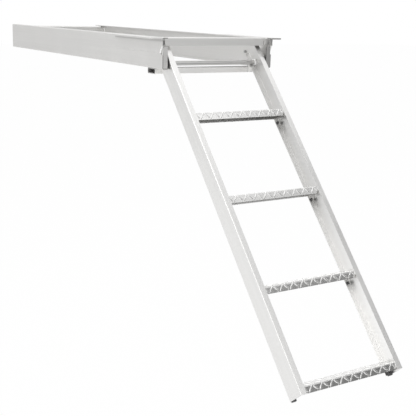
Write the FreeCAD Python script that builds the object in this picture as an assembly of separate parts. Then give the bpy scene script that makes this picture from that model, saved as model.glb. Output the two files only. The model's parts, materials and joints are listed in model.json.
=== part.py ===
"""Under-deck boarding ladder for a pontoon boat, aluminium, four treads.

X points outboard, Y runs across the ladder to the far rail, Z is up.
The origin is the middle of the front cross angle's top face, which lies
against the underside of the deck. Lengths are in millimetres.
"""
import FreeCAD, Part
import math
import os

from FreeCAD import Vector

# Rails that hang under the deck
RAIL_LENGTH = 1397.0
RAIL_HEIGHT = 101.6
RAIL_FLANGE = 19.0
RAIL_WALL = 3.2
RAIL_CORNER = 4.0
FRAME_WIDTH = 431.8
RAIL_OVERHANG = 20.0

# Slanting notch bitten out of each rail's outboard end
NOTCH_TOP = 25.0
NOTCH_HEIGHT = 31.0
NOTCH_DEPTH = 15.5
NOTCH_RISE = 4.0
NOTCH_CORNER = 4.0

# Mounting angles outside the rails, bolted up into the deck
MOUNT_LENGTH = 335.0
MOUNT_LEG = 41.3
MOUNT_DROP = 47.6
MOUNT_WALL = 4.8
MOUNT_CORNER = 6.0
BOLT_HOLE = 9.0
BOLT_END = 52.0
BOLT_SPACING = 230.0
BOLT_OUTSTAND = 25.0

# Angle that joins the rails' top flanges at the front
CROSS_LEG = 38.0
CROSS_DROP = 26.0
CROSS_WALL = 3.2
CROSS_CORNER = 4.0
CROSS_ROUNDING = 6.0

# Channel that joins the rails near their inboard ends
REAR_SETBACK = 66.0
REAR_DROP = 5.0
REAR_HEIGHT = 76.0
REAR_FLANGE = 38.0
REAR_WALL = 3.2
REAR_CORNER = 4.0

# Rectangular tube that runs under the rails, behind the hanging stringers
CROSSBAR_WIDTH = 50.8
CROSSBAR_HEIGHT = 19.05
CROSSBAR_WALL = 3.0
CROSSBAR_CORNER = 2.0
CROSSBAR_INSET = 7.4
CROSSBAR_GAP = 5.0
CROSSBAR_RUN_GAP = 0.5

# Straps that hang the crossbar from the pivot tube
HANGER_WIDTH = 7.5
HANGER_WALL = 3.0
HANGER_SIDE_GAP = 1.5
HANGER_RISE = 2.0

# Stops welded into the rails' outboard ends
STOP_WALL = 3.2
STOP_HEIGHT = 70.0
BUFFER_SETBACK = 0.5

# Rubber buttons inside the rails
BUTTON_SETBACK = 151.0
BUTTON_DROP = 54.0
BUTTON_DIAMETER = 10.0
BUTTON_HEIGHT = 6.0
BUTTON_ROUNDING = 2.0

# Carriage: pivot tube, slide shoes and spacers
TUBE_DIAMETER = 16.0
TUBE_WALL = 2.5
TUBE_END_GAP = 1.0
PIVOT_SETBACK = 55.45
PIVOT_DROP = 85.5
SHOE_LENGTH = 40.0
SHOE_HEIGHT = 33.0
SHOE_CORNER = 5.0
SHOE_SIDE_GAP = 0.5
SHOE_FLOOR_GAP = 0.3
SPACER_DIAMETER = 24.0
SPACER_GAP = 0.3
TUBE_FIT = 0.05
REST_GAP = 0.3

# Ladder: stringers hang from the pivot at an angle from the vertical
LADDER_TILT = 41.5
LADDER_SIDE_GAP = 5.4
STRINGER_LENGTH = 1218.5
STRINGER_HEAD = 46.2
STRINGER_DEPTH = 63.5
STRINGER_FLANGE = 20.0
STRINGER_WALL = 2.5
STRINGER_CORNER = 3.0
STRINGER_REAR = 11.0
PIVOT_HOLE_GAP = 0.1

# Folded treads of diamond plate
TREAD_COUNT = 4
TREAD_PITCH = 304.8
TREAD_TAIL = 21.6
TREAD_DEPTH = 47.0
TREAD_LEAN = 23.9
TREAD_FRONT_LIP = 22.4
TREAD_REAR_LIP = 27.0
TREAD_WALL = 3.0
TREAD_BEND = 4.5
WELD_GAP = 0.2

# Black plastic blocks inside the stringers under each tread's ends, the lowest ones larger
BLOCK_MIDDLE = 16.5
BLOCK_LENGTH = 9.0
BLOCK_DEPTH = 5.0
BLOCK_WIDTH = 6.0
BLOCK_INSET = 3.5
BLOCK_CORNER = 1.5
FOOT_BLOCK_LENGTH = 17.0
FOOT_BLOCK_DEPTH = 11.0
FOOT_BLOCK_WIDTH = 12.0
FOOT_BLOCK_CORNER = 2.0

# Places that follow from the sizes above
RAIL_END = CROSS_LEG / 2 + RAIL_OVERHANG
WEB_OUTER = FRAME_WIDTH / 2
WEB_INNER = WEB_OUTER - RAIL_WALL
FLANGE_EDGE = WEB_OUTER - RAIL_FLANGE
RAIL_FLOOR = RAIL_WALL - RAIL_HEIGHT
PIVOT_X = RAIL_END - PIVOT_SETBACK
PIVOT_Z = -PIVOT_DROP
TUBE_RADIUS = TUBE_DIAMETER / 2
SHOE_OUTER = WEB_INNER - SHOE_SIDE_GAP
SHOE_INNER = FLANGE_EDGE + SHOE_SIDE_GAP
SHOE_BOTTOM = RAIL_FLOOR + SHOE_FLOOR_GAP
STRINGER_OUTER = FLANGE_EDGE - LADDER_SIDE_GAP
STRINGER_INNER = STRINGER_OUTER - STRINGER_WALL
STRINGER_EDGE = STRINGER_OUTER - STRINGER_FLANGE
STRINGER_FRONT = STRINGER_DEPTH - STRINGER_REAR
STRINGER_FOOT = STRINGER_LENGTH - STRINGER_HEAD
TREAD_FIRST = STRINGER_FOOT - TREAD_TAIL - (TREAD_COUNT - 1) * TREAD_PITCH
CROSSBAR_LENGTH = FRAME_WIDTH - 2 * CROSSBAR_INSET
CROSSBAR_TOP = -RAIL_HEIGHT - CROSSBAR_RUN_GAP
LADDER_DROP = 90.0 - LADDER_TILT
FAR_PAST = 1.0

ALONG_X = Vector(1, 0, 0)
ALONG_Y = Vector(0, 1, 0)
ALONG_Z = Vector(0, 0, 1)


def across(a, b):
    """Point of a section that lies square to X."""
    return Vector(0, a, b)


def sideways(a, b):
    """Point of a section that lies square to Y."""
    return Vector(a, 0, b)


def outline(corners, plane):
    """Face inside (a, b, radius) corners, each rounded by its own radius."""
    flat = [Vector(a, b, 0) for a, b, radius in corners]
    stops = []
    for index, (a, b, radius) in enumerate(corners):
        here = flat[index]
        back = (flat[index - 1] - here).normalize()
        ahead = (flat[(index + 1) % len(flat)] - here).normalize()
        half = back.getAngle(ahead) / 2
        reach = radius / math.tan(half)
        middle = (back + ahead).normalize()
        depth = radius / math.sin(half) - radius
        stops.append((here + back * reach, here + middle * depth, here + ahead * reach, radius))
    edges = []
    for index, (start, top, end, radius) in enumerate(stops):
        if radius > 0:
            bend = Part.Arc(plane(start.x, start.y), plane(top.x, top.y), plane(end.x, end.y))
            edges.append(bend.toShape())
        following = stops[(index + 1) % len(stops)][0]
        if (following - end).Length > 1e-6:
            edges.append(Part.makeLine(plane(end.x, end.y), plane(following.x, following.y)))
    return Part.Face(Part.Wire(edges))


def block(x_range, y_range, z_range):
    """Box between two places on each axis."""
    size = [high - low for low, high in (x_range, y_range, z_range)]
    corner = Vector(x_range[0], y_range[0], z_range[0])
    return Part.makeBox(size[0], size[1], size[2], corner)


def inner_bend(corner, wall):
    """Radius inside a bend whose outside radius is corner."""
    return max(corner - wall, 0.0)


def near_copy(shape):
    """The same piece on the near side."""
    return shape.mirror(Vector(0, 0, 0), ALONG_Y)


def hang(shape):
    """Turn a piece of the level ladder down about the pivot and carry it there."""
    hung = shape.copy()
    hung.rotate(Vector(0, 0, 0), ALONG_Y, LADDER_DROP)
    hung.translate(Vector(PIVOT_X, 0, PIVOT_Z))
    return hung


def notch():
    """Cutter for the notch in a rail's outboard end, deepest near its bottom."""
    low = -NOTCH_TOP - NOTCH_HEIGHT
    section = outline([(RAIL_END + FAR_PAST, low, 0),
                       (RAIL_END - NOTCH_DEPTH, low + NOTCH_RISE, NOTCH_CORNER),
                       (RAIL_END, -NOTCH_TOP, 0),
                       (RAIL_END + FAR_PAST, -NOTCH_TOP, 0)], sideways)
    cutter = section.extrude(ALONG_Y * (2 * RAIL_WALL + 2 * MOUNT_WALL))
    cutter.translate(ALONG_Y * (WEB_INNER - RAIL_WALL / 2))
    return cutter


def rail():
    """C rail of the far side, its web outside and its flanges turned inward."""
    inside = inner_bend(RAIL_CORNER, RAIL_WALL)
    section = outline([(FLANGE_EDGE, 0, 0),
                       (WEB_OUTER, 0, RAIL_CORNER),
                       (WEB_OUTER, -RAIL_HEIGHT, RAIL_CORNER),
                       (FLANGE_EDGE, -RAIL_HEIGHT, 0),
                       (FLANGE_EDGE, RAIL_FLOOR, 0),
                       (WEB_INNER, RAIL_FLOOR, inside),
                       (WEB_INNER, -RAIL_WALL, inside),
                       (FLANGE_EDGE, -RAIL_WALL, 0)], across)
    section.translate(ALONG_X * (RAIL_END - RAIL_LENGTH))
    return section.extrude(ALONG_X * RAIL_LENGTH).cut(notch())


def mount_angle():
    """Angle outside the far rail, with its level leg flush with the rail's top."""
    inside = inner_bend(MOUNT_CORNER, MOUNT_WALL)
    edge = WEB_OUTER + MOUNT_LEG
    section = outline([(WEB_OUTER, 0, 0),
                       (edge, 0, 0),
                       (edge, -MOUNT_WALL, 0),
                       (WEB_OUTER + MOUNT_WALL, -MOUNT_WALL, inside),
                       (WEB_OUTER + MOUNT_WALL, -MOUNT_DROP, 0),
                       (WEB_OUTER, -MOUNT_DROP, 0)], across)
    section.translate(ALONG_X * (RAIL_END - MOUNT_LENGTH))
    angle = section.extrude(ALONG_X * MOUNT_LENGTH).cut(notch())
    for setback in (BOLT_END, BOLT_END + BOLT_SPACING):
        centre = Vector(RAIL_END - setback, WEB_OUTER + BOLT_OUTSTAND, -2 * MOUNT_WALL)
        angle = angle.cut(Part.makeCylinder(BOLT_HOLE / 2, 3 * MOUNT_WALL, centre))
    return angle


def front_cross_angle():
    """Angle between the rails' top flanges, its hanging leg at the front."""
    front = CROSS_LEG / 2
    inside = inner_bend(CROSS_CORNER, CROSS_WALL)
    section = outline([(-front, 0, 0),
                       (front, 0, CROSS_CORNER),
                       (front, -CROSS_DROP, 0),
                       (front - CROSS_WALL, -CROSS_DROP, 0),
                       (front - CROSS_WALL, -CROSS_WALL, inside),
                       (-front, -CROSS_WALL, 0)], sideways)
    section.translate(ALONG_Y * -FLANGE_EDGE)
    angle = section.extrude(ALONG_Y * 2 * FLANGE_EDGE)
    window = outline([(-FLANGE_EDGE, -CROSS_DROP, CROSS_ROUNDING),
                      (FLANGE_EDGE, -CROSS_DROP, CROSS_ROUNDING),
                      (FLANGE_EDGE, FAR_PAST, 0),
                      (-FLANGE_EDGE, FAR_PAST, 0)], across)
    window.translate(ALONG_X * (-front - FAR_PAST))
    return angle.common(window.extrude(ALONG_X * (CROSS_LEG + 2 * FAR_PAST)))


def rear_cross_member():
    """Channel between the rails' webs, open inboard."""
    face = RAIL_END - RAIL_LENGTH + REAR_SETBACK
    back = face - REAR_FLANGE
    top = -REAR_DROP
    bottom = top - REAR_HEIGHT
    inside = inner_bend(REAR_CORNER, REAR_WALL)
    section = outline([(back, top, 0),
                       (face, top, REAR_CORNER),
                       (face, bottom, REAR_CORNER),
                       (back, bottom, 0),
                       (back, bottom + REAR_WALL, 0),
                       (face - REAR_WALL, bottom + REAR_WALL, inside),
                       (face - REAR_WALL, top - REAR_WALL, inside),
                       (back, top - REAR_WALL, 0)], sideways)
    section.translate(ALONG_Y * -WEB_INNER)
    return section.extrude(ALONG_Y * 2 * WEB_INNER)


def crossbar_face():
    """X of the crossbar's outboard face, just clear of the hanging stringers."""
    tilt = math.radians(LADDER_TILT)
    drop = PIVOT_Z - CROSSBAR_TOP
    return PIVOT_X - (STRINGER_REAR + CROSSBAR_GAP - drop * math.sin(tilt)) / math.cos(tilt)


def lower_crossbar():
    """Rectangular tube under both rails, open at its ends."""
    face = crossbar_face()
    back = face - CROSSBAR_WIDTH
    top = CROSSBAR_TOP
    bottom = top - CROSSBAR_HEIGHT

    def ring(inset, corner):
        return outline([(back + inset, bottom + inset, corner),
                        (face - inset, bottom + inset, corner),
                        (face - inset, top - inset, corner),
                        (back + inset, top - inset, corner)], sideways)

    skin = ring(0, CROSSBAR_CORNER).extrude(ALONG_Y * CROSSBAR_LENGTH)
    hollow = ring(CROSSBAR_WALL, inner_bend(CROSSBAR_CORNER, CROSSBAR_WALL))
    tube = skin.cut(hollow.extrude(ALONG_Y * CROSSBAR_LENGTH))
    tube.translate(ALONG_Y * (-CROSSBAR_LENGTH / 2))
    return tube


def crossbar_hanger():
    """Strap from the crossbar's front face up to the tube, beside the far stringer."""
    face = crossbar_face()
    outer = STRINGER_EDGE - HANGER_SIDE_GAP
    strap = block((face, face + HANGER_WALL), (outer - HANGER_WIDTH, outer),
                  (CROSSBAR_TOP - CROSSBAR_HEIGHT + HANGER_RISE, PIVOT_Z))
    seat = Part.makeCylinder(TUBE_RADIUS + WELD_GAP, HANGER_WIDTH,
                             Vector(PIVOT_X, outer - HANGER_WIDTH, PIVOT_Z), ALONG_Y)
    return strap.cut(seat)


def stop_plate():
    """Plate that closes the lower part of the far rail's outboard end."""
    section = outline([(FLANGE_EDGE, RAIL_FLOOR, 0),
                       (WEB_INNER, RAIL_FLOOR, inner_bend(RAIL_CORNER, RAIL_WALL)),
                       (WEB_INNER, RAIL_FLOOR + STOP_HEIGHT, 0),
                       (FLANGE_EDGE, RAIL_FLOOR + STOP_HEIGHT, 0)], across)
    section.translate(ALONG_X * (RAIL_END - STOP_WALL))
    return section.extrude(ALONG_X * STOP_WALL)


def stop_buffer():
    """Rubber block between the stop plate and the slide shoe."""
    start = PIVOT_X + SHOE_LENGTH / 2 + REST_GAP
    return block((start, RAIL_END - STOP_WALL), (SHOE_INNER + BUFFER_SETBACK, SHOE_OUTER),
                 (SHOE_BOTTOM, SHOE_BOTTOM + SHOE_HEIGHT))


def rail_button():
    """Rubber button on the inner face of the far rail."""
    radius = BUTTON_DIAMETER / 2
    profile = outline([(0, 0, 0), (radius, 0, 0), (radius, BUTTON_HEIGHT, BUTTON_ROUNDING),
                       (0, BUTTON_HEIGHT, 0)], sideways)
    button = profile.revolve(Vector(0, 0, 0), ALONG_Z, 360)
    button.rotate(Vector(0, 0, 0), ALONG_X, 90)
    button.translate(Vector(RAIL_END - BUTTON_SETBACK, WEB_INNER, -BUTTON_DROP))
    return button


def pivot_tube():
    """Round tube across both rails that the ladder swings on."""
    length = 2 * (WEB_INNER - TUBE_END_GAP)
    start = Vector(PIVOT_X, -length / 2, PIVOT_Z)
    skin = Part.makeCylinder(TUBE_RADIUS, length, start, ALONG_Y)
    return skin.cut(Part.makeCylinder(TUBE_RADIUS - TUBE_WALL, length, start, ALONG_Y))


def slide_shoe():
    """Nylon shoe that carries the tube's far end along the rail."""
    half = SHOE_LENGTH / 2
    top = SHOE_BOTTOM + SHOE_HEIGHT
    section = outline([(PIVOT_X - half, SHOE_BOTTOM, SHOE_CORNER),
                       (PIVOT_X + half, SHOE_BOTTOM, SHOE_CORNER),
                       (PIVOT_X + half, top, SHOE_CORNER),
                       (PIVOT_X - half, top, SHOE_CORNER)], sideways)
    section.translate(ALONG_Y * SHOE_INNER)
    shoe = section.extrude(ALONG_Y * (SHOE_OUTER - SHOE_INNER))
    centre = Vector(PIVOT_X, SHOE_INNER - FAR_PAST, PIVOT_Z)
    bore = Part.makeCylinder(TUBE_RADIUS + TUBE_FIT, SHOE_OUTER, centre, ALONG_Y)
    return shoe.cut(bore)


def spacer():
    """Nylon ring on the tube between the far stringer and the shoe."""
    start = STRINGER_OUTER + SPACER_GAP
    length = SHOE_INNER - SPACER_GAP - start
    centre = Vector(PIVOT_X, start, PIVOT_Z)
    ring = Part.makeCylinder(SPACER_DIAMETER / 2, length, centre, ALONG_Y)
    return ring.cut(Part.makeCylinder(TUBE_RADIUS + TUBE_FIT, length, centre, ALONG_Y))


def stringer():
    """C stringer of the far side in the level ladder, with its pivot hole."""
    inside = inner_bend(STRINGER_CORNER, STRINGER_WALL)
    rear = -STRINGER_REAR
    section = outline([(STRINGER_EDGE, STRINGER_FRONT, 0),
                       (STRINGER_OUTER, STRINGER_FRONT, STRINGER_CORNER),
                       (STRINGER_OUTER, rear, STRINGER_CORNER),
                       (STRINGER_EDGE, rear, 0),
                       (STRINGER_EDGE, rear + STRINGER_WALL, 0),
                       (STRINGER_INNER, rear + STRINGER_WALL, inside),
                       (STRINGER_INNER, STRINGER_FRONT - STRINGER_WALL, inside),
                       (STRINGER_EDGE, STRINGER_FRONT - STRINGER_WALL, 0)], across)
    section.translate(ALONG_X * -STRINGER_HEAD)
    beam = section.extrude(ALONG_X * STRINGER_LENGTH)
    centre = Vector(0, STRINGER_INNER - FAR_PAST, 0)
    hole = Part.makeCylinder(TUBE_RADIUS + PIVOT_HOLE_GAP, STRINGER_OUTER, centre, ALONG_Y)
    return beam.cut(hole)


def tread_corners(start):
    """Outer corners of a tread's section: front lip, nose, heel and rear lip."""
    lean = math.radians(TREAD_LEAN)
    forward = Vector(math.sin(lean), math.cos(lean), 0)
    down = Vector(math.cos(lean), -math.sin(lean), 0)
    nose = Vector(start, STRINGER_FRONT, 0)
    heel = nose - forward * TREAD_DEPTH
    front = nose + down * TREAD_FRONT_LIP
    rear = heel + down * TREAD_REAR_LIP
    return front, nose, heel, rear, forward, down


def tread(start):
    """Folded tread between the stringers' webs, notched round their front flanges."""
    front, nose, heel, rear, forward, down = tread_corners(start)
    inside = inner_bend(TREAD_BEND, TREAD_WALL)
    ahead = forward * TREAD_WALL
    under = down * TREAD_WALL
    path = [(front, 0), (nose, TREAD_BEND), (heel, TREAD_BEND), (rear, 0), (rear + ahead, 0),
            (heel + ahead + under, inside), (nose - ahead + under, inside), (front - ahead, 0)]
    section = outline([(spot.x, spot.y, radius) for spot, radius in path], sideways)
    half = STRINGER_INNER - WELD_GAP
    section.translate(ALONG_Y * -half)
    step = section.extrude(ALONG_Y * 2 * half)
    flange_back = STRINGER_FRONT - STRINGER_WALL - WELD_GAP
    reach = TREAD_DEPTH + TREAD_FRONT_LIP
    recess = block((start - reach, start + reach), (STRINGER_EDGE - WELD_GAP, STRINGER_OUTER),
                   (flange_back, STRINGER_FRONT + FAR_PAST))
    return step.cut(recess).cut(near_copy(recess))


def flange_block(start, length, depth, width, corner):
    """Black block on the far stringer's rear flange, its side towards the centre at y = 0."""
    rear = -STRINGER_REAR + STRINGER_WALL + WELD_GAP
    low = start + BLOCK_MIDDLE - length / 2
    section = outline([(low, rear, corner),
                       (low + length, rear, corner),
                       (low + length, rear + depth, corner),
                       (low, rear + depth, corner)], sideways)
    return section.extrude(ALONG_Y * width)


def tread_block(start):
    """Small block under one tread's rear lip, near the flange's edge."""
    block_piece = flange_block(start, BLOCK_LENGTH, BLOCK_DEPTH, BLOCK_WIDTH, BLOCK_CORNER)
    block_piece.translate(ALONG_Y * (STRINGER_EDGE + BLOCK_INSET))
    return block_piece


def foot_block(start):
    """Larger block under the lowest tread's rear lip, against the web."""
    block_piece = flange_block(start, FOOT_BLOCK_LENGTH, FOOT_BLOCK_DEPTH, FOOT_BLOCK_WIDTH, FOOT_BLOCK_CORNER)
    block_piece.translate(ALONG_Y * (STRINGER_INNER - WELD_GAP - FOOT_BLOCK_WIDTH))
    return block_piece


def frame_pieces():
    """Pieces that are fixed to the deck."""
    sided = {"rail": rail(), "mount_angle": mount_angle(), "stop_plate": stop_plate(),
             "stop_buffer": stop_buffer(), "rail_button": rail_button()}
    single = {"front_cross_angle": front_cross_angle(), "rear_cross_member": rear_cross_member()}
    return sided, single


def carriage_pieces():
    """Pieces that slide along the rails."""
    sided = {"slide_shoe": slide_shoe(), "spacer": spacer(), "crossbar_hanger": crossbar_hanger()}
    return sided, {"pivot_tube": pivot_tube(), "lower_crossbar": lower_crossbar()}


def ladder_pieces():
    """Pieces that swing about the pivot tube."""
    sided = {"stringer": hang(stringer())}
    single = {}
    for number in range(TREAD_COUNT):
        start = TREAD_FIRST + number * TREAD_PITCH
        single["tread_%d" % (number + 1)] = hang(tread(start))
        lowest = number == TREAD_COUNT - 1
        sided["tread_block_%d" % (number + 1)] = hang(foot_block(start) if lowest else tread_block(start))
    return sided, single


def main():
    os.makedirs("parts", exist_ok=True)
    for sided, single in (frame_pieces(), carriage_pieces(), ladder_pieces()):
        pieces = dict(single)
        for name, shape in sided.items():
            pieces[name + "_far"] = shape
            pieces[name + "_near"] = near_copy(shape)
        for name, shape in pieces.items():
            shape.exportStep("parts/%s.step" % name)


main()
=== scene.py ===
"""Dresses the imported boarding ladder: plate pattern, welds, collars, finishes and a pale studio."""
import json
import math

import bmesh
import bpy
from bpy.props import FloatProperty, FloatVectorProperty, PointerProperty
from mathutils import Matrix, Vector


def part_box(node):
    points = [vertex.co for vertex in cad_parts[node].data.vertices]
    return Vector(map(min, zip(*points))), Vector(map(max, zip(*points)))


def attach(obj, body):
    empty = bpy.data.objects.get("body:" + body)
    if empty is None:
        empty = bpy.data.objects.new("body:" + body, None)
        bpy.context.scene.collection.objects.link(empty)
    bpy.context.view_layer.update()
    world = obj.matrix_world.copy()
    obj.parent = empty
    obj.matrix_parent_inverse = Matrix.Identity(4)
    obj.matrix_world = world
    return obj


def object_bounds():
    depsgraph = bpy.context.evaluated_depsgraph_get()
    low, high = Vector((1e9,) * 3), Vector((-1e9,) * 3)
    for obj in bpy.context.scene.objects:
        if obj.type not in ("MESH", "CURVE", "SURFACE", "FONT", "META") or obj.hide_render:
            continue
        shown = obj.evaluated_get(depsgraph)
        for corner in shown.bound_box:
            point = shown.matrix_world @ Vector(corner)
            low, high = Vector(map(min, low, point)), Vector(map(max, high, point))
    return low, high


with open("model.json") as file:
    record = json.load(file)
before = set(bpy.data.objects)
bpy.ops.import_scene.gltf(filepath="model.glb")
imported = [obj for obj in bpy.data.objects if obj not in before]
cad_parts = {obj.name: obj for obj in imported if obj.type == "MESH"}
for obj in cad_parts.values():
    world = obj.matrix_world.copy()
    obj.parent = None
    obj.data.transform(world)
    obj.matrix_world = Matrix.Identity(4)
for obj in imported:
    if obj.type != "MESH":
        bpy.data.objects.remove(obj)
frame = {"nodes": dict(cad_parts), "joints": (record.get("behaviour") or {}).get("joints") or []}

bl_info = {
    "name": "Boarding ladder dresser",
    "version": (1, 0, 0),
    "blender": (4, 5, 0),
    "location": "3D View > Sidebar > Ladder",
    "description": "Adds the tread pattern, welds, fittings, finishes and studio of an under-deck ladder",
    "category": "Object",
}

CAD_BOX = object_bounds()
NODES = frame["nodes"]
MM = 0.001
SIDES = (("near", -1), ("far", 1))

# The ladder's own directions: down its length, across, and out of its front
PIVOT = Vector(next(joint["pos_m"] for joint in frame["joints"] if joint["name"] == "ladder_swing"))
LADDER_DROP = math.radians(48.5)
DOWN_LADDER = Vector((math.cos(LADDER_DROP), 0, -math.sin(LADDER_DROP)))
LADDER_FRONT = Vector((math.sin(LADDER_DROP), 0, math.cos(LADDER_DROP)))
ACROSS = Vector((0, 1, 0))

# Stringers: their front, and their webs' and flanges' inner edges from the middle
STRINGER_FRONT = 52.5 * MM
WEB_FACE = 189 * MM
FLANGE_EDGE = 171.5 * MM

# Folded treads, measured over their outside
TREADS = (1, 2, 3, 4)
FIRST_TREAD = 236.3 * MM
TREAD_PITCH = 304.8 * MM
TREAD_LEAN = math.radians(23.9)
TREAD_TURN = TREAD_LEAN - (math.pi / 2 - LADDER_DROP)
FRONT_LIP = 22.4 * MM
PLATFORM = 47 * MM
REAR_LIP = 27 * MM
BEND = 4.5 * MM

# Where the raised bars end, short of the lips' edges, the flanges and the webs, and the least area of one
BAR_MARGIN = 0.6 * MM
BAR_TO_FLANGE = 1.2 * MM
BAR_TO_WEB = 3.2 * MM
SMALLEST_BAR = 20 * MM * MM

# Rails: both faces of their webs, from the middle
RAIL_WEB = 212.7 * MM
RAIL_OUTSIDE = 215.9 * MM

# Stitch welds along each mounting angle's lower edge, placed as shares of the room there
STITCH = 38 * MM
STITCH_SHARES = (0.02, 0.33, 0.64, 0.95)

# A white bead along the slanting cut in each rail, a painted highlight, its ends given along the rail and up
HIGHLIGHT_ACROSS = 217 * MM
HIGHLIGHT_HEAD = (37.5 * MM, -25 * MM)
HIGHLIGHT_FOOT = (26 * MM, -50 * MM)
HIGHLIGHT_RIPPLE = 4 * MM

# Painted shade: black pads in the corners behind the front cross angle, standing in for the shade there
SHADE_PAD_SIZE = (11.5 * MM, 9 * MM, 14 * MM)
SHADE_PAD_ROUNDING = 1.2 * MM
SHADE_PAD_CENTRES = {
    "near": (9.8 * MM, -201.2 * MM, -17 * MM),
    "far": (9.8 * MM, 196.5 * MM, -17 * MM),
}

# Tube collars: how far behind the tube's middle they are cut flat
COLLAR_BACK = 8.2 * MM

# Collar screws: the head's height, and its socket's place and depth
SCREW_HEIGHT = 2.4 * MM
SCREW_RIM = 1.3 * MM
SCREW_SOCKET = 1.4 * MM

# How bright a piece is beside the colour that its finish starts from: the far stop plate's low share is
# painted shade, and the crossbar's and the tread bars' high shares are painted light, the bars' partly for
# their polished tops
SHADES = {
    "stop_plate_near": 0.92,
    "stop_plate_far": 0.58,
    "rail_button": 2.3,
    "lower_crossbar": 1.34,
    "tread": 0.92,
    "tread_bars": 1.14,
}

# How bright the mounting angles' sawn ends are beside their sides: painted light on the near angle's ends,
# painted shade on the far angle's
PAINTED_MOUNT_END_LIGHT = {"near": 1.1, "far": 0.5}

# Camera: its place in metres, then yaw, pitch and roll in degrees
CAMERA_PLACE = (2.48503, -1.58709, 0.10174)
CAMERA_ANGLES = (57.457, 13.238, 1.584)

# The high card's tone changes over the metre above the line z = CLIMB * y + LINE
HIGH_CARD_CLIMB = 3
HIGH_CARD_LINE = -10.5


def plain_length(name, default, description):
    """A length in metres for a settings panel."""
    return FloatProperty(name=name, default=default, min=0, unit="LENGTH", precision=5,
                         description=description)


def bar_angle(name, degrees, description):
    """An angle for a settings panel."""
    return FloatProperty(name=name, default=math.radians(degrees), subtype="ANGLE",
                         description=description)


def lamp_power(name, default, description):
    """A power in watts for a settings panel."""
    return FloatProperty(name=name, default=default, min=0, unit="POWER", description=description)


def finish_colour(name, default, description):
    """A linear colour for a settings panel."""
    return FloatVectorProperty(name=name, default=default, size=3, min=0, max=1, subtype="COLOR",
                               description=description)


class TreadPatternSettings(bpy.types.PropertyGroup):
    """Raised bars of the treads' diamond plate."""
    bar_length: plain_length("Bar length", 25 * MM, "Length of one raised bar")
    bar_width: plain_length("Bar width", 7.0 * MM, "Width of one raised bar at its middle")
    bar_height: plain_length("Bar height", 1.5 * MM, "How far a bar stands up from the plate")
    pitch: plain_length("Pitch", 37.5 * MM, "Distance between like bars along the tread")
    steep_angle: bar_angle("Steep angle", 58, "Lean of the steep bars from the tread's length")
    flat_angle: bar_angle("Flat angle", -32, "Lean of the bars between them")


class WeldSettings(bpy.types.PropertyGroup):
    """Beads that join the aluminium pieces."""
    width: plain_length("Bead width", 4.6 * MM, "Width of a bead on the ladder and frame")
    dab: plain_length("Ripple spacing", 3.2 * MM, "Distance between the ripples of a bead")


class FittingSettings(bpy.types.PropertyGroup):
    """Collars with their screws, and the white strips painted as highlights in the rails' cuts."""
    collar_radius: plain_length("Collar radius", 11.5 * MM, "Radius of the white collar on the pivot tube")
    collar_width: plain_length("Collar width", 6.5 * MM, "Width of the collar along the tube")
    screw_radius: plain_length("Screw radius", 2.2 * MM, "Radius of the collar's screw head")
    highlight_width: plain_length("Highlight width", 7 * MM, "Width of the white strip painted as a highlight in the rails' cuts")


class FinishSettings(bpy.types.PropertyGroup):
    """Colours of the bare metals and plastics."""
    frame_metal: finish_colour("Frame aluminium", (0.737, 0.732, 0.720), "Rails and cross members")
    stringer_metal: finish_colour("Stringer aluminium", (0.85, 0.846, 0.836), "Drawn stringers")
    plate_metal: finish_colour("Tread plate", (0.80, 0.797, 0.788), "Rolled plate of the treads")
    tube_metal: finish_colour("Tube aluminium", (0.64, 0.636, 0.625), "Drawn pivot tube")
    weld_metal: finish_colour("Weld metal", (0.92, 0.92, 0.91), "Fresh aluminium filler")
    screw_metal: finish_colour("Screw steel", (0.62, 0.61, 0.60), "Stainless steel of the screws")
    black_plastic: finish_colour("Black plastic and shade", (0.066, 0.066, 0.067), "Blocks under the treads")
    black_rubber: finish_colour("Shade black", (0.030, 0.030, 0.031), "Black pads standing in for shade in corners")
    grey_rubber: finish_colour("Grey rubber", (0.19, 0.19, 0.19), "Stop buffers and rail buttons")
    white_nylon: finish_colour("White nylon", (0.90, 0.89, 0.87), "Slide shoes and spacers")
    clean_white: finish_colour("Clean white", (0.98, 0.98, 0.97), "Collars, and the painted highlights in the rails' cuts")


class StageSettings(bpy.types.PropertyGroup):
    """Camera, lamps and floor."""
    lens: FloatProperty(name="Lens", default=74.17, min=1,
                        description="Focal length in millimetres on a 36 mm sensor")
    floor_drop: plain_length("Floor drop", 0.55, "How far the floor lies below the ladder's foot")
    key_power: lamp_power("Key lamp", 34, "Soft lamp on the near side")
    top_power: lamp_power("Top lamp", 24, "Soft lamp overhead")
    head_power: lamp_power("Head lamp", 3.2, "Small lamp high on the far side")
    fill_power: lamp_power("Fill lamp", 12, "Weak lamp beside the camera")
    room_light: FloatProperty(name="Room light", default=0.75, min=0,
                              description="Strength of the white surroundings")
    floor_colour: finish_colour("Floor", (0.95, 0.95, 0.95), "Colour of the pale floor")


class LadderSettings(bpy.types.PropertyGroup):
    """All settings of the boarding ladder."""
    pattern: PointerProperty(type=TreadPatternSettings, name="Tread pattern", description="Raised bars")
    welds: PointerProperty(type=WeldSettings, name="Welds", description="Weld beads")
    fittings: PointerProperty(type=FittingSettings, name="Fittings", description="Collars, and the painted highlights in the rails' cuts")
    finishes: PointerProperty(type=FinishSettings, name="Finishes", description="Colours")
    stage: PointerProperty(type=StageSettings, name="Stage", description="Studio")


def settings():
    return bpy.context.scene.boarding_ladder


# Materials


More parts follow.
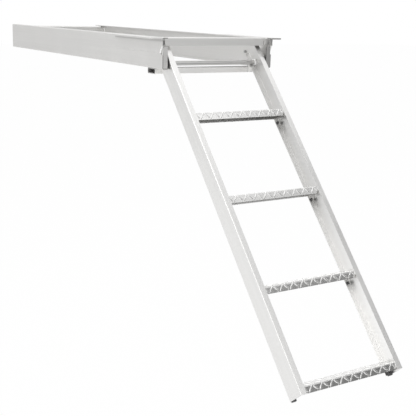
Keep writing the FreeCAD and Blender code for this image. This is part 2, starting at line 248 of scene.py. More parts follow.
class Signal:
    """A node's output that plain arithmetic works on; each step adds one Math node."""

    def __init__(self, finish, socket):
        self.finish = finish
        self.socket = socket

    def calculate(self, operation, *values):
        return self.finish.node("ShaderNodeMath", {"operation": operation}, dict(enumerate(values)))

    def __add__(self, other):
        return self.calculate("ADD", self, other)

    def __radd__(self, other):
        return self.calculate("ADD", other, self)

    def __sub__(self, other):
        return self.calculate("SUBTRACT", self, other)

    def __rsub__(self, other):
        return self.calculate("SUBTRACT", other, self)

    def __mul__(self, other):
        return self.calculate("MULTIPLY", self, other)

    def __rmul__(self, other):
        return self.calculate("MULTIPLY", other, self)

    def __truediv__(self, other):
        return self.calculate("DIVIDE", self, other)

    def __gt__(self, other):
        return self.calculate("GREATER_THAN", self, other)

    def __abs__(self):
        return self.calculate("ABSOLUTE", self)


class Finish:
    """A material, or the world, while its nodes are put together."""

    def __init__(self, name, datablock=None):
        self.datablock = datablock or bpy.data.materials.new(name)
        self.datablock.use_nodes = True
        self.tree = self.datablock.node_tree
        self.tree.nodes.clear()

    def node(self, kind, choices=(), values=(), output=0):
        """Adds a node: its choices and ramp stops first, then a value or link for each socket."""
        added = self.tree.nodes.new(kind)
        for key, value in dict(choices).items():
            if key == "stops":
                ramp = added.color_ramp.elements
                while len(ramp) < len(value):
                    ramp.new(0.5)
                for element, (position, shade) in zip(ramp, value):
                    element.position = position
                    element.color = (shade, shade, shade, 1)
            else:
                setattr(added, key, value)
        for key, value in dict(values).items():
            socket = added.inputs[key]
            if isinstance(value, Signal):
                self.tree.links.new(value.socket, socket)
            elif socket.type == "RGBA" and len(value) == 3:
                socket.default_value = (*value, 1)
            else:
                socket.default_value = value
        return Signal(self, added.outputs[output]) if added.outputs else None

    def place(self, turn=0.0, scales=(1, 1, 1)):
        """Object coordinates, turned about Y and then stretched."""
        here = self.node("ShaderNodeTexCoord", output="Object")
        turned = self.node("ShaderNodeMapping", values={"Vector": here, "Rotation": (0, turn, 0)})
        return self.node("ShaderNodeMapping", values={"Vector": turned, "Scale": scales})

    def facing(self, turn=0.0):
        """The surface's own direction, turned as place() turns a point."""
        normal = self.node("ShaderNodeTexCoord", output="Normal")
        return self.node("ShaderNodeMapping", {"vector_type": "NORMAL"},
                         {"Vector": normal, "Rotation": (0, turn, 0)})

    def part(self, letter, vector):
        """The X, Y or Z of a vector."""
        return self.node("ShaderNodeSeparateXYZ", values={0: vector}, output=letter)

    def noise(self, scales, turn=0.0, detail=2.0, roughness=0.5, distortion=0.0):
        """Noise with about as many grains to the metre, in each direction, as scales says."""
        return self.node("ShaderNodeTexNoise", values={
            "Vector": self.place(turn, scales), "Scale": 1.0, "Detail": detail, "Roughness": roughness,
            "Distortion": distortion})

    def ramp(self, value, stops):
        return self.node("ShaderNodeValToRGB", {"stops": stops}, {"Fac": value})

    def rise(self, value, start, end):
        """0 up to start, 1 from end, and a straight climb between them."""
        return self.ramp(value, ((start, 0.0), (end, 1.0)))

    def blend(self, share, first, second):
        """A colour between two colours."""
        return self.node("ShaderNodeMix", {"data_type": "RGBA"}, {0: share, 6: first, 7: second}, output=2)

    def bump(self, height, strength, depth):
        return self.node("ShaderNodeBump", values={
            "Strength": strength, "Distance": depth, "Height": height})

    def glow(self, strength):
        """White light of its own."""
        return self.node("ShaderNodeEmission", values={"Color": (1, 1, 1), "Strength": strength})

    def close(self, surface, output="ShaderNodeOutputMaterial"):
        """Joins a shader to the output."""
        self.node(output, values={"Surface": surface})
        return self.datablock

    def close_solid(self, colour, roughness, metallic=1.0, bump=None):
        """Ends the material as one solid surface."""
        values = {"Base Color": colour, "Roughness": roughness, "Metallic": metallic}
        if bump:
            values["Normal"] = bump
        return self.close(self.node("ShaderNodeBsdfPrincipled", values=values))


def shade_of(colour, share):
    return tuple(channel * share for channel in colour)


def even(scale):
    """A pattern's scales, alike in every direction."""
    return (scale, scale, scale)


def streaks(along, slow, fast):
    """A pattern's scales, drawn out along one direction."""
    return tuple(slow if letter == along else fast for letter in "XYZ")


def drawn_metal(name, colour, along, turn=0.0, roughness=0.40, sawn=0.4, painted_light=None):
    """Bare extruded aluminium: die lines along its length, dull patches, light scuffs and sawn ends.

    Sawn is how bright the ends are. The last argument is one of the four functions that follow, or nothing:
    each paints light or shade as one more layer, with its share and tint from the finish, the metal's colour
    and its turn.
    """
    finish = Finish(name)
    lines = finish.noise(streaks(along, 1.3, 620), turn, detail=2.0, roughness=0.65)
    bands = finish.noise(streaks(along, 2.2, 75), turn, detail=2.0)
    patches = finish.noise(even(9), turn, detail=5.0, roughness=0.6, distortion=0.4)
    scratches = finish.noise(streaks(along, 28, 420), turn + 0.35, detail=1.0)
    scuffs = finish.rise(scratches, 0.66, 0.74)
    specks = finish.rise(finish.noise(even(900), turn, detail=1.0), 0.70, 0.78)
    ends = abs(finish.part(along, finish.facing(turn))) > 0.9
    saw = finish.noise((300, 300, 2600), turn, detail=1.0)
    tone = 0.45 * lines + 0.30 * bands + 0.25 * patches
    bare = finish.blend(tone, shade_of(colour, 0.86), shade_of(colour, 1.09))
    dulled = finish.blend(specks * 0.30, bare, shade_of(colour, 0.62))
    rubbed = finish.blend(scuffs * 0.30, dulled, shade_of(colour, 1.12))
    seen = finish.blend(ends * (0.65 + 0.4 * saw), rubbed, shade_of(colour, sawn))
    # Painted light or shade from one of the functions below, when one is given
    if painted_light:
        share, tint = painted_light(finish, colour, turn)
        seen = finish.blend(share, seen, tint)
    rough = (roughness - 0.12) + 0.10 * lines + 0.16 * patches + 0.06 * scuffs + 0.08 * ends
    height = 0.5 * lines + 0.35 * bands + 0.8 * patches + ends * saw
    return finish.close_solid(seen, rough, bump=finish.bump(height, 0.09, 0.6 * MM))


def painted_flange_shadow(finish, colour, turn):
    """Painted shadow: a faint dark band on a mounting angle's hanging leg, close under its level leg, where
    that leg shades it.
    """
    depth = 25 * MM
    edges = ((-15 * MM, 0.0), (-10 * MM, 1.0), (-5.25 * MM, 1.0), (-4.75 * MM, 0.0))
    level = finish.part("Z", finish.place(turn))
    band = finish.ramp(1 + level / depth, [(1 + height / depth, shade) for height, shade in edges])
    return band * 0.30, shade_of(colour, 0.3)


def painted_top_shade(finish, colour, turn):
    """Painted shade: dark on what faces straight up."""
    return finish.part("Z", finish.facing(turn)) > 0.9, shade_of(colour, 0.30)


def painted_underside_shade(finish, colour, turn):
    """Painted shade: a little darker on what faces down."""
    downward = 0.5 - 0.5 * finish.part("Z", finish.facing(turn))
    return finish.rise(downward, 0.50, 0.66), shade_of(colour, 0.82)


def painted_foot_light(finish, colour, turn):
    """Painted light: brighter towards the ladder's foot, on what faces sideways; reach is just past its
    length.
    """
    reach = 1.25
    sideways = abs(finish.part("Y", finish.facing(turn))) > 0.9
    down = finish.rise(finish.part("X", finish.place(turn)) / reach, 0.45, 0.82)
    return sideways, finish.blend(down, shade_of(colour, 0.86), shade_of(colour, 1.17))


def plate_metal(name, colour, raised=False):
    """Rolled tread plate: bright, with fine rolling lines, small dents and rubbed bar tops."""
    finish = Finish(name)
    lines = finish.noise(streaks("Y", 3, 700), TREAD_TURN, detail=2.0, roughness=0.6)
    patches = finish.noise(even(26), TREAD_TURN, detail=4.0, roughness=0.55)
    dents = finish.noise(even(170), TREAD_TURN, detail=2.0)
    marks = finish.rise(finish.noise(streaks("Y", 60, 500), TREAD_TURN, detail=1.0), 0.66, 0.75)
    bare = finish.blend(0.5 * lines + 0.5 * patches, shade_of(colour, 0.86), shade_of(colour, 1.08))
    worn = finish.blend(marks * (0.2 if raised else 0.4), bare, shade_of(colour, 0.72))
    rough = (0.17 if raised else 0.16) + 0.12 * patches + 0.08 * marks
    height = 0.35 * lines + 0.9 * dents + 0.6 * patches
    return finish.close_solid(worn, rough, bump=finish.bump(height, 0.22, 0.8 * MM))


def weld_metal(name, colour):
    """Aluminium filler: satin, a little grey in soft patches of soot."""
    finish = Finish(name)
    grain = finish.noise(even(900), detail=3.0)
    soot = finish.noise(even(60), detail=3.0)
    bare = finish.blend(0.6 * grain + 0.4 * soot, shade_of(colour, 0.72), shade_of(colour, 1.12))
    return finish.close_solid(bare, 0.28 + 0.2 * soot, bump=finish.bump(grain, 0.25, 0.4 * MM))


def screw_steel(name, colour):
    """Stainless steel with turning marks."""
    finish = Finish(name)
    marks = finish.noise(streaks("Z", 200, 1500), detail=2.0)
    bare = finish.blend(marks, shade_of(colour, 0.85), shade_of(colour, 1.15))
    return finish.close_solid(bare, 0.20 + 0.15 * marks)


def moulded(name, colour, roughness, grain_size, relief, dust=0.0):
    """Plastic or rubber: fine moulded grain, uneven sheen and a trace of dust."""
    finish = Finish(name)
    grain = finish.noise(even(1 / grain_size), detail=2.0)
    cloud = finish.noise(even(60), detail=4.0)
    tone = finish.blend(cloud, shade_of(colour, 0.82), shade_of(colour, 1.18))
    dusty = finish.blend(dust * cloud * grain, tone, (0.32, 0.31, 0.30))
    bump = finish.bump(grain + 0.5 * cloud, relief, 0.5 * MM)
    return finish.close_solid(dusty, roughness - 0.06 + 0.16 * cloud, metallic=0.0, bump=bump)


def rubber(name, colour, roughness=0.55):
    """Moulded rubber with some dust on it."""
    return moulded(name, colour, roughness, 1.2 * MM, 0.3, 0.25)


def clean_white():
    """The white that collars and the painted highlights in the rails' cuts share, made when it is first
    asked for.
    """
    name = "clean_white"
    made = bpy.data.materials.get(name)
    return made or moulded(name, settings().finishes.clean_white, 0.5, 0.9 * MM, 0.1)


def weld_filler():
    """The filler that all beads share, made when it is first asked for."""
    name = "weld_metal"
    return bpy.data.materials.get(name) or weld_metal(name, settings().finishes.weld_metal)


def dress(names, material):
    """Gives CAD nodes their finish."""
    for name in names:
        for slot in NODES[name].material_slots:
            slot.material = material


def both(*names):
    """The nodes of these names on the near and on the far side."""
    return [f"{name}_{side}" for name in names for side, _ in SIDES]


# Shapes


def mesh_of(name, shape):
    """Turns a bmesh into a mesh and frees it."""
    mesh = bpy.data.meshes.new(name)
    shape.to_mesh(mesh)
    shape.free()
    return mesh


def show(name, mesh):
    """Puts a mesh in the scene as an object."""
    shown = bpy.data.objects.new(name, mesh)
    bpy.context.scene.collection.objects.link(shown)
    return shown


def add_piece(name, shape, material, body):
    """Turns a finished bmesh into a piece that rides on a body."""
    bmesh.ops.recalc_face_normals(shape, faces=shape.faces)
    for face in shape.faces:
        face.smooth = True
    mesh = mesh_of(name, shape)
    mesh.materials.append(material)
    mesh.set_sharp_from_angle(angle=math.radians(40))
    piece = show(name, mesh)
    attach(piece, body)


def ladder_point(down, across, out):
    """A place on the ladder: down its length from the pivot, across, and out of its front."""
    return PIVOT + DOWN_LADDER * down + ACROSS * across + LADDER_FRONT * out


def tread_place(number):
    """Matrix of a tread: X forwards along its platform, Y across, Z up, from its nose's outer corner."""
    forward = DOWN_LADDER * math.sin(TREAD_LEAN) + LADDER_FRONT * math.cos(TREAD_LEAN)
    up = forward.cross(ACROSS)
    nose = ladder_point(FIRST_TREAD + TREAD_PITCH * (number - 1), 0, STRINGER_FRONT)
    turn = Matrix((forward, ACROSS, up)).transposed().to_4x4()
    return Matrix.Translation(nose) @ turn


def fold(along, height):
    """Carries a point of the flat sheet onto the folded tread: along runs from the front lip's edge."""
    lip = FRONT_LIP - BEND
    arc = BEND * math.pi / 2
    flat = PLATFORM - 2 * BEND
    if along < lip:
        return height, -FRONT_LIP + along
    along -= lip
    if along < arc:
        turn = along / BEND
        return -BEND + (BEND + height) * math.cos(turn), -BEND + (BEND + height) * math.sin(turn)
    along -= arc
    if along < flat:
        return -BEND - along, height
    along -= flat
    if along < arc:
        turn = along / BEND
        return -PLATFORM + BEND - (BEND + height) * math.sin(turn), -BEND + (BEND + height) * math.cos(turn)
    along -= arc
    return -PLATFORM - height, -BEND - along


def sheet_length():
    """A tread's flat length, from its front lip's edge to its rear lip's."""
    return FRONT_LIP + PLATFORM + REAR_LIP - 4 * BEND + math.pi * BEND


def bar_mesh(pattern):
    """One raised bar: a pointed lens with a crowned back, lying along X, its foot just under the plate."""
    shape = bmesh.new()
    bmesh.ops.create_circle(shape, cap_ends=True, segments=18, radius=1.0)
    raised = bmesh.ops.extrude_face_region(shape, geom=shape.faces[:])["geom"]
    rim = [part for part in raised if isinstance(part, bmesh.types.BMVert)]
    bmesh.ops.translate(shape, verts=rim, vec=(0, 0, 1))
    top = [part for part in raised if isinstance(part, bmesh.types.BMFace)]
    # Rings inside the outline that the crown is shaped with
    for ring in (0.14, 0.24, 0.30):
        bmesh.ops.inset_region(shape, faces=top, thickness=ring, depth=0)
    half_length = pattern.bar_length / 2
    half_width = pattern.bar_width / 2
    foot = -0.4 * MM
    for vertex in shape.verts:
        reach = min(1.0, vertex.co.xy.length)
        crown = pattern.bar_height * (1 - reach ** 2) ** 0.7
        pinch = 1 - 0.35 * abs(vertex.co.x) ** 1.5
        height = crown if vertex.co.z > 0.5 else foot
        vertex.co = Vector((vertex.co.x * half_length, vertex.co.y * pinch * half_width, height))
    return mesh_of("pattern_bar", shape)


def clip(shape, point, outward):
    """Cuts away what lies beyond a plane and closes the cut."""
    geometry = shape.verts[:] + shape.edges[:] + shape.faces[:]
    bmesh.ops.bisect_plane(shape, geom=geometry, dist=1e-7, plane_co=point, plane_no=outward,
                           clear_outer=True)
    rim = [edge for edge in shape.edges if edge.is_boundary]
    if rim:
        bmesh.ops.holes_fill(shape, edges=rim, sides=0)


def laid_bar(bar, along, across, angle):
    """A copy of the bar at its place on the flat sheet."""
    laid = bmesh.new()
    laid.from_mesh(bar)
    turn = Matrix.Rotation(math.pi / 2 - angle, 4, "Z")
    bmesh.ops.transform(laid, matrix=Matrix.Translation((along, across, 0)) @ turn, verts=laid.verts)
    return laid


def trim_bar(laid, centre, reach):
    """Cuts a bar off at the lips' edges, and beside the flanges on the front lip or the webs behind it."""
    on_lip = centre.x < FRONT_LIP + 0.5 * MM
    edge = FLANGE_EDGE - BAR_TO_FLANGE if on_lip else WEB_FACE - BAR_TO_WEB
    limits = ((Vector((BAR_MARGIN, 0, 0)), Vector((-1, 0, 0))),
              (Vector((sheet_length() - BAR_MARGIN, 0, 0)), Vector((1, 0, 0))),
              (Vector((0, -edge, 0)), Vector((0, -1, 0))),
              (Vector((0, edge, 0)), Vector((0, 1, 0))))
    for point, outward in limits:
        if (centre - point).dot(outward) > -reach and laid.faces:
            clip(laid, point, outward)


def sheet_bars(pattern):
    """All the raised bars of one tread on the flat sheet: Y across, X along the sheet, Z up."""
    bar = bar_mesh(pattern)
    sheet = bmesh.new()
    spacing = pattern.pitch / 2
    rows = math.ceil(sheet_length() / spacing)
    columns = math.ceil(WEB_FACE / spacing) + 1
    for row in range(-1, rows + 1):
        along = FRONT_LIP / 2 + row * spacing
        for column in range(-columns, columns + 1):
            across = column * spacing
            steep = (row + column) % 2 == 0
            laid = laid_bar(bar, along, across, pattern.steep_angle if steep else pattern.flat_angle)
            trim_bar(laid, Vector((along, across, 0)), pattern.bar_length / 2)
            if sum(face.calc_area() for face in laid.faces) > SMALLEST_BAR:
                part = mesh_of("part_of_sheet", laid)
                sheet.from_mesh(part)
                bpy.data.meshes.remove(part)
            else:
                laid.free()
    bpy.data.meshes.remove(bar)
    return sheet


def add_bead(shape, start, end, width, dab):
    """Adds a straight bead from start to end: a sphere drawn out, with a ripple for every dab."""
    run = end - start
    dabs = max(3, round(run.length / dab))
    made = bmesh.ops.create_uvsphere(shape, u_segments=9, v_segments=dabs * 3, radius=1.0)
    turn = run.to_track_quat("Z", "Y").to_matrix()
    for vertex in made["verts"]:
        angle = math.acos(max(-1.0, min(1.0, vertex.co.z)))
        share = 1 - angle / math.pi
        ring = math.sin(angle)
        taper = min(1.0, 4.0 * math.sqrt(min(share, 1 - share)))
        ripple = 0.88 + 0.16 * abs(math.sin(share * dabs * math.pi))
        out = Vector()
        if ring > 1e-6:
            out = Vector((vertex.co.x, vertex.co.y, 0)) / ring * (taper * ripple * width / 2)
        vertex.co = start + turn @ (out + Vector((0, 0, run.length * share)))


def add_welds(name, runs, body):
    """A piece made of several beads; each run is start, end and a share of the usual width."""
    welds = settings().welds
    shape = bmesh.new()
    for start, end, share in runs:
        add_bead(shape, Vector(start), Vector(end), welds.width * share, welds.dab)
    add_piece(name, shape, weld_filler(), body)


def round_edges(shape, edges, radius, segments=3):
    bmesh.ops.bevel(shape, geom=edges, offset=radius, affect="EDGES", segments=segments, profile=0.5,
                    material=-1)


def turned_disc(radius, thickness, facets, rounding, segments):
    """A round about Z with softened rims."""
    shape = bmesh.new()
    bmesh.ops.create_cone(shape, cap_ends=True, segments=facets, radius1=radius, radius2=radius,
                          depth=thickness)
    rims = [edge for edge in shape.edges if edge.calc_face_angle(0) > 1]
    round_edges(shape, rims, rounding, segments)
    return shape


# Operators


class FinishFrame(bpy.types.Operator):
    """Bare aluminium on the rails and cross members, rubber on the stops"""
    bl_idname = "boarding_ladder.finish_frame"
    bl_label = "Finish frame"

    def execute(self, context):
        finishes = settings().finishes
        metal = finishes.frame_metal
        dress(both("rail"), drawn_metal("rail_aluminium", metal, "X", roughness=0.42))
        for side, _ in SIDES:
            # Painted light and shade on the mounting angles: brighter near and darker far sawn ends, and a
            # painted shadow under the level leg
            mount = drawn_metal(f"mount_aluminium_{side}", metal, "X", sawn=PAINTED_MOUNT_END_LIGHT[side],
                                painted_light=painted_flange_shadow)
            dress([f"mount_angle_{side}"], mount)
            # The far stop plate is darker than the near one: painted shade
            plate = f"stop_plate_{side}"
            dress([plate], drawn_metal(f"stop_aluminium_{side}", shade_of(metal, SHADES[plate]), "Y"))
        dress(["front_cross_angle", "rear_cross_member"], drawn_metal("cross_aluminium", metal, "Y"))
        dress(both("stop_buffer"), rubber("grey_rubber", finishes.grey_rubber))
        button_grey = shade_of(finishes.grey_rubber, SHADES["rail_button"])
        dress(both("rail_button"), rubber("button_rubber", button_grey))
        return {"FINISHED"}


class FinishCarriage(bpy.types.Operator):
    """Drawn tube and crossbar, nylon shoes and spacers"""
    bl_idname = "boarding_ladder.finish_carriage"
    bl_label = "Finish carriage"

    def execute(self, context):
        finishes = settings().finishes
        # Painted shade on the tube's underside
        tube = drawn_metal("tube_aluminium", finishes.tube_metal, "Y", roughness=0.34, painted_light=painted_underside_shade)
        dress(["pivot_tube"], tube)
        # Painted light: the crossbar takes the frame's aluminium brightened, and painted shade darkens its
        # top faces
        bright = shade_of(finishes.frame_metal, SHADES["lower_crossbar"])
        crossbar = drawn_metal("crossbar_aluminium", bright, "Y", painted_light=painted_top_shade)
        dress(["lower_crossbar", *both("crossbar_hanger")], crossbar)
        nylon = moulded("white_nylon", finishes.white_nylon, 0.42, 0.6 * MM, 0.12, 0.3)
        dress(both("slide_shoe", "spacer"), nylon)
        return {"FINISHED"}


class FinishLadder(bpy.types.Operator):
    """Drawn stringers, bright tread plate and black blocks"""
    bl_idname = "boarding_ladder.finish_ladder"
    bl_label = "Finish ladder"

    def execute(self, context):
        finishes = settings().finishes
        # The far stringer gets painted light towards its foot
        for node, name, painted_light in (("stringer_near", "stringer_aluminium", None),
                                 ("stringer_far", "stringer_far_aluminium", painted_foot_light)):
            dress([node], drawn_metal(name, finishes.stringer_metal, "X", -LADDER_DROP, 0.36, painted_light=painted_light))
        plate = plate_metal("tread_plate", shade_of(finishes.plate_metal, SHADES["tread"]))
        dress([f"tread_{number}" for number in TREADS], plate)
        # Black blocks under the treads: partly real pieces, partly standing in for the shade under the
        # treads' ends
        blocks = [name for number in TREADS for name in both(f"tread_block_{number}")]
        dress(blocks, moulded("black_plastic", finishes.black_plastic, 0.45, 0.9 * MM, 0.2, 0.2))
        return {"FINISHED"}


class AddTreadPattern(bpy.types.Operator):
    """Raised bars of diamond plate, folded round each tread's lips"""
    bl_idname = "boarding_ladder.add_tread_pattern"
    bl_label = "Add tread pattern"

    def execute(self, context):
        # The bars are brighter than the plate around them: painted highlight, partly their polished tops
        bright = shade_of(settings().finishes.plate_metal, SHADES["tread_bars"])
        material = plate_metal("tread_bars", bright, raised=True)
        sheet = sheet_bars(settings().pattern)
        for vertex in sheet.verts:
            x, z = fold(vertex.co.x, vertex.co.z)
            vertex.co = Vector((x, vertex.co.y, z))
        for number in TREADS:
            shape = sheet.copy()
            bmesh.ops.transform(shape, matrix=tread_place(number), verts=shape.verts)
            add_piece(f"tread_bars_{number}", shape, material, "ladder")
        sheet.free()
        return {"FINISHED"}


class AddLadderWelds(bpy.types.Operator):
    """Beads that hold each tread between the stringers' webs and flanges"""
    bl_idname = "boarding_ladder.add_ladder_welds"
    bl_label = "Add ladder welds"

    def execute(self, context):
        for number in TREADS:
            place = tread_place(number)
            for side, way in SIDES:
                web = way * (WEB_FACE - 0.2 * MM)
                flange = way * (FLANGE_EDGE + 0.1 * MM)
                platform = ((-5 * MM, web, 0), (-PLATFORM + 4 * MM, web, 0), 1.0)
                rear_lip = ((-PLATFORM, web, -5 * MM), (-PLATFORM, web, -REAR_LIP + MM), 1.0)
                front_lip = ((-0.6 * MM, flange, -1.5 * MM), (-0.6 * MM, flange, -15 * MM), 0.9)
                runs = [(place @ Vector(start), place @ Vector(end), share)
                        for start, end, share in (platform, rear_lip, front_lip)]
                add_welds(f"tread_weld_{number}_{side}", runs, "ladder")
        return {"FINISHED"}


class AddFrameWelds(bpy.types.Operator):
    """Beads on the cross members, mounting angles and stop plates"""
    bl_idname = "boarding_ladder.add_frame_welds"
    bl_label = "Add frame welds"

    def execute(self, context):
        for side, way in SIDES:
            runs = [*self.mount_runs(side, way), *self.rear_member_runs(way), self.front_angle_run(way),
                    self.stop_run(side, way)]
            add_welds(f"frame_welds_{side}", runs, "frame")
        return {"FINISHED"}

    def mount_runs(self, side, way):
        """Stitches along the mounting angle's lower edge."""
        low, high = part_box(f"mount_angle_{side}")
        across, level = way * RAIL_OUTSIDE, low.z + 0.4 * MM
        starts = [low.x + share * (high.x - low.x - STITCH) for share in STITCH_SHARES]
        return [((start, across, level), (start + STITCH, across, level), 0.9) for start in starts]

    def rear_member_runs(self, way):
        """Round the rear cross member's end: up its web, then along its two flanges."""
        low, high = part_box("rear_cross_member")
        web = way * RAIL_WEB
        return [((high.x, web, low.z + 3 * MM), (high.x, web, high.z - 3 * MM), 0.9),
                ((low.x + 3 * MM, web, high.z), (high.x - 2 * MM, web, high.z), 0.8),
                ((low.x + 3 * MM, web, low.z), (high.x - 2 * MM, web, low.z), 0.8)]

    def front_angle_run(self, way):
        """Under the front cross angle's end, where it meets the rail's top flange."""
        low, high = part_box("front_cross_angle")
        across, level = way * high.y, high.z - 3.2 * MM
        return (low.x + 2 * MM, across, level), (high.x - 5 * MM, across, level), 0.8

    def stop_run(self, side, way):
        """Up the inboard corner between a stop plate and its rail's web."""
        low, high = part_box(f"stop_plate_{side}")
        web = way * RAIL_WEB
        return (low.x, web, low.z + 4 * MM), (low.x, web, high.z - 2 * MM), 0.8


class AddCutHighlights(bpy.types.Operator):
    """A bead painted white along the slanting cut at each rail's outboard end: a painted highlight"""
    bl_idname = "boarding_ladder.add_cut_seals"
    bl_label = "Add cut seals"

    def execute(self, context):
        width = settings().fittings.highlight_width
        for side, way in SIDES:
            head, foot = (Vector((along, way * HIGHLIGHT_ACROSS, level))
                          for along, level in (HIGHLIGHT_HEAD, HIGHLIGHT_FOOT))
            shape = bmesh.new()
            add_bead(shape, head, foot, width, HIGHLIGHT_RIPPLE)
            add_piece(f"cut_highlight_{side}", shape, clean_white(), "frame")
        return {"FINISHED"}


class AddShadePads(bpy.types.Operator):
    """Painted shade: black pads in the corners behind the front cross angle, standing in for the shade there
    """
    bl_idname = "boarding_ladder.add_corner_pads"
    bl_label = "Add corner pads"

    def execute(self, context):
        black = rubber("black_rubber", settings().finishes.black_rubber, 0.62)
        for side, centre in SHADE_PAD_CENTRES.items():
            shape = bmesh.new()
            bmesh.ops.create_cube(shape, size=1)
            bmesh.ops.scale(shape, verts=shape.verts, vec=SHADE_PAD_SIZE)
            round_edges(shape, shape.edges[:], SHADE_PAD_ROUNDING)
            bmesh.ops.translate(shape, verts=shape.verts, vec=centre)
            add_piece(f"shade_pad_{side}", shape, black, "frame")
        return {"FINISHED"}


class AddCarriageWelds(bpy.types.Operator):
    """Beads between the hanging straps, the crossbar and the tube"""
    bl_idname = "boarding_ladder.add_carriage_welds"
    bl_label = "Add carriage welds"

    def execute(self, context):
        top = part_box("lower_crossbar")[1].z - 2 * MM
        seat_x, seat_z = PIVOT.x - 7 * MM, PIVOT.z - 4 * MM
        for side, _ in SIDES:
            low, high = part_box(f"crossbar_hanger_{side}")
            runs = [((low.x, edge, low.z + MM), (low.x, edge, top), 0.6) for edge in (low.y, high.y)]
            runs.append(((seat_x, low.y, seat_z), (seat_x, high.y, seat_z), 0.7))
            add_welds(f"strap_welds_{side}", runs, "carriage")
        return {"FINISHED"}


class AddTubeCollars(bpy.types.Operator):
    """White collars on the pivot tube beside the stringers' webs, each with a small screw"""
    bl_idname = "boarding_ladder.add_tube_collars"
    bl_label = "Add tube collars"

    def execute(self, context):
        fittings = settings().fittings
        steel = screw_steel("screw_steel", settings().finishes.screw_metal)
        for side, way in SIDES:
            across = way * (WEB_FACE - 0.2 * MM - fittings.collar_width / 2)
            add_piece(f"tube_collar_{side}", self.collar(fittings, across), clean_white(), "ladder")
            add_piece(f"collar_screw_{side}", self.screw(fittings, across), steel, "ladder")
        return {"FINISHED"}

    def collar(self, fittings, across):
        """A round on the tube, flat at the back."""
        shape = turned_disc(fittings.collar_radius, fittings.collar_width, 40, 1.0 * MM, 3)
        place = Matrix.Translation(ladder_point(0, across, 0)) @ Matrix.Rotation(math.pi / 2, 4, "X")
        bmesh.ops.transform(shape, matrix=place, verts=shape.verts)
        clip(shape, ladder_point(0, 0, -COLLAR_BACK), -LADDER_FRONT)
        return shape

    def screw(self, fittings, across):
        """A socket screw's head on the front of a collar."""
        shape = turned_disc(fittings.screw_radius, SCREW_HEIGHT, 24, 0.4 * MM, 2)
        top = [face for face in shape.faces if face.normal.z > 0.99 and len(face.verts) > 8]
        bmesh.ops.inset_region(shape, faces=top, thickness=SCREW_RIM, depth=0)
        bmesh.ops.inset_region(shape, faces=top, thickness=0.05 * MM, depth=-SCREW_SOCKET)
        upwards = Matrix((ACROSS.cross(LADDER_FRONT), ACROSS, LADDER_FRONT)).transposed().to_4x4()
        seat = ladder_point(0, across, fittings.collar_radius + 0.4 * MM)
        bmesh.ops.transform(shape, matrix=Matrix.Translation(seat) @ upwards, verts=shape.verts)
        return shape


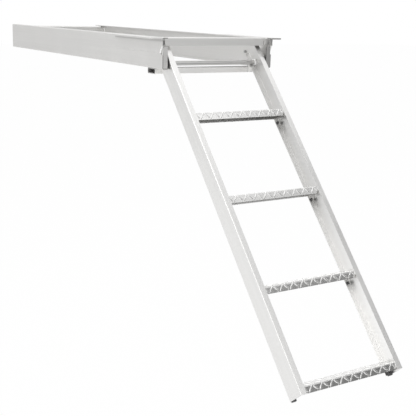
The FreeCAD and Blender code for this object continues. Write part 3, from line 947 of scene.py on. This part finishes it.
class BuildStage(bpy.types.Operator):
    """Pale floor, white surroundings, soft lamps and the photograph's camera"""
    bl_idname = "boarding_ladder.build_stage"
    bl_label = "Build stage"

    def execute(self, context):
        stage = settings().stage
        ground = CAD_BOX[0].z - stage.floor_drop
        self.add_floor(stage, ground)
        self.add_room(stage)
        # Each card: name, distance, lowest and highest edge, first and last bearing, low and high tone
        self.add_card("left_card", 6, (ground, 2.6), (-175, -100), (0.82, 0.82))
        self.add_card("front_card", 6, (ground, 1.7), (-100, 75), (0.80, 0.80))
        self.add_card("front_flag", 1.9, (ground, -0.39), (14, 62), (0.24, 0.24))
        self.add_card("side_flag", 3, (0.4, 1.4), (-30, 8), (0.12, 0.12))
        self.add_card("upper_flag", 3, (0.08, 1.15), (41, 64), (0.18, 0.18))
        self.add_card("lip_glow", 4, (0.75, 2.2), (8, 35), (1.45, 1.45))
        self.add_card("left_glow", 5, (0.6, 3.6), (-80, -48), (1.8, 1.8))
        self.add_card("high_card", 6.2, (2.5, 9.0), (45, 82), (0.29, 0.90), slanted=True)
        # Each lamp: name, place, what it aims at, width, power
        self.add_lamp("key_lamp", (-1.4, -3.4, 1.5), (0.1, 0, -0.35), 2.2, stage.key_power)
        self.add_lamp("top_lamp", (-0.8, 0.4, 3.4), (0.1, 0, -0.3), 3.0, stage.top_power)
        self.add_lamp("head_lamp", (0.90, 3.15, 4.1), (0.1, 0, -0.1), 1.1, stage.head_power)
        self.add_lamp("fill_lamp", (3.6, -2.4, 1.2), (0.2, 0, -0.4), 1.6, stage.fill_power)
        self.add_camera(stage)
        return {"FINISHED"}

    def white_for_camera(self, finish):
        """1 where the camera, a reflection or clear material looks straight at it."""
        camera, glossy, clear = (finish.node("ShaderNodeLightPath", output=f"Is {kind} Ray")
                                 for kind in ("Camera", "Glossy", "Transmission"))
        return camera + glossy + clear

    def add_floor(self, stage, ground):
        """A matt floor that looks almost white, so that only the ladder's shadow shows on it."""
        shape = bmesh.new()
        bmesh.ops.create_grid(shape, x_segments=1, y_segments=1, size=30)
        bmesh.ops.translate(shape, verts=shape.verts, vec=(0, 0, ground))
        finish = Finish("pale_floor")
        matt = finish.node("ShaderNodeBsdfDiffuse", values={"Color": tuple(stage.floor_colour)})
        share = self.white_for_camera(finish) * 0.97
        mixed = finish.node("ShaderNodeMixShader", values={0: share, 1: matt, 2: finish.glow(1.0)})
        mesh = mesh_of("floor", shape)
        mesh.materials.append(finish.close(mixed))
        show("floor", mesh)

    def add_card(self, name, distance, heights, bearings, tones, slanted=False):
        """A curved studio card that only the metal's sheen sees, with one tone low and one high on it."""
        low, high = heights
        start, end = (math.radians(bearing) for bearing in bearings)
        shape = bmesh.new()
        corners = [shape.verts.new((distance * math.cos(start), distance * math.sin(start), height))
                   for height in heights]
        edge = shape.edges.new(corners)
        bmesh.ops.spin(shape, geom=[*corners, edge], cent=(0, 0, 0), axis=(0, 0, 1), angle=end - start,
                       steps=48, use_merge=False)
        finish = Finish(name)
        across, up = (finish.part(letter, finish.place()) for letter in "YZ")
        share = (up - low) / (high - low)
        if slanted:
            share = up - HIGH_CARD_CLIMB * across - HIGH_CARD_LINE
        dim, bright = (finish.glow(tone) for tone in tones)
        mixed = finish.node("ShaderNodeMixShader", values={0: share, 1: dim, 2: bright})
        mesh = mesh_of(name, shape)
        mesh.materials.append(finish.close(mixed))
        card = show(name, mesh)
        card.visible_camera = False
        card.visible_diffuse = False
        card.visible_shadow = False

    def add_room(self, stage):
        """White surroundings that light the ladder more weakly than they look."""
        world = bpy.data.worlds.new("white_room")
        bpy.context.scene.world = world
        finish = Finish("white_room", world)
        room, white = (finish.node("ShaderNodeBackground", values={"Color": (1, 1, 1), "Strength": strength})
                       for strength in (stage.room_light, 1.0))
        share = self.white_for_camera(finish)
        mixed = finish.node("ShaderNodeMixShader", values={0: share, 1: room, 2: white})
        finish.close(mixed, "ShaderNodeOutputWorld")

    def add_lamp(self, name, place, aim, width, power):
        """A square soft lamp."""
        lamp = bpy.data.lights.new(name, "AREA")
        lamp.size = width
        lamp.energy = power
        holder = bpy.data.objects.new(name, lamp)
        turn = (Vector(aim) - Vector(place)).to_track_quat("-Z", "Y").to_matrix().to_4x4()
        holder.matrix_world = Matrix.Translation(place) @ turn
        bpy.context.scene.collection.objects.link(holder)

    def add_camera(self, stage):
        """The photograph's view; its yaw turns from +Y towards -X."""
        yaw, pitch, roll = (math.radians(angle) for angle in CAMERA_ANGLES)
        ahead, drop = math.cos(pitch), math.sin(pitch)
        forward = Vector((-math.sin(yaw) * ahead, math.cos(yaw) * ahead, -drop))
        level = Vector((math.cos(yaw), math.sin(yaw), 0))
        upright = level.cross(forward)
        right = level * math.cos(roll) + upright * math.sin(roll)
        up = upright * math.cos(roll) - level * math.sin(roll)
        camera = bpy.data.cameras.new("photo_camera")
        camera.lens = stage.lens
        camera.sensor_width = 36
        camera.clip_end = 100
        holder = bpy.data.objects.new("photo_camera", camera)
        turn = Matrix((right, up, -forward)).transposed().to_4x4()
        holder.matrix_world = Matrix.Translation(CAMERA_PLACE) @ turn
        bpy.context.scene.collection.objects.link(holder)
        bpy.context.scene.camera = holder
        bpy.context.scene.view_settings.view_transform = "Standard"


STEPS = (FinishFrame, FinishCarriage, FinishLadder, AddTreadPattern, AddLadderWelds, AddFrameWelds,
         AddCutHighlights, AddShadePads, AddCarriageWelds, AddTubeCollars, BuildStage)
GROUPS = (TreadPatternSettings, WeldSettings, FittingSettings, FinishSettings, StageSettings, LadderSettings)


class LadderPanel(bpy.types.Panel):
    """Lists the ladder's steps and settings in the sidebar"""
    bl_idname = "VIEW3D_PT_boarding_ladder"
    bl_label = "Boarding ladder"
    bl_space_type = "VIEW_3D"
    bl_region_type = "UI"
    bl_category = "Ladder"

    def draw(self, context):
        for step in STEPS:
            self.layout.operator(step.bl_idname)
        for group in LadderSettings.__annotations__:
            chosen = getattr(context.scene.boarding_ladder, group)
            column = self.layout.column(align=True)
            for name in chosen.__annotations__:
                column.prop(chosen, name)


def register():
    for item in (*GROUPS, *STEPS, LadderPanel):
        bpy.utils.register_class(item)
    bpy.types.Scene.boarding_ladder = PointerProperty(type=LadderSettings)


def unregister():
    del bpy.types.Scene.boarding_ladder
    for item in reversed((*GROUPS, *STEPS, LadderPanel)):
        bpy.utils.unregister_class(item)


def main():
    register()
    bpy.ops.boarding_ladder.finish_frame()
    bpy.ops.boarding_ladder.finish_carriage()
    bpy.ops.boarding_ladder.finish_ladder()
    bpy.ops.boarding_ladder.add_tread_pattern()
    bpy.ops.boarding_ladder.add_ladder_welds()
    bpy.ops.boarding_ladder.add_frame_welds()
    bpy.ops.boarding_ladder.add_cut_seals()
    bpy.ops.boarding_ladder.add_corner_pads()
    bpy.ops.boarding_ladder.add_carriage_welds()
    bpy.ops.boarding_ladder.add_tube_collars()
    bpy.ops.boarding_ladder.build_stage()


if __name__ == "__main__":
    main()
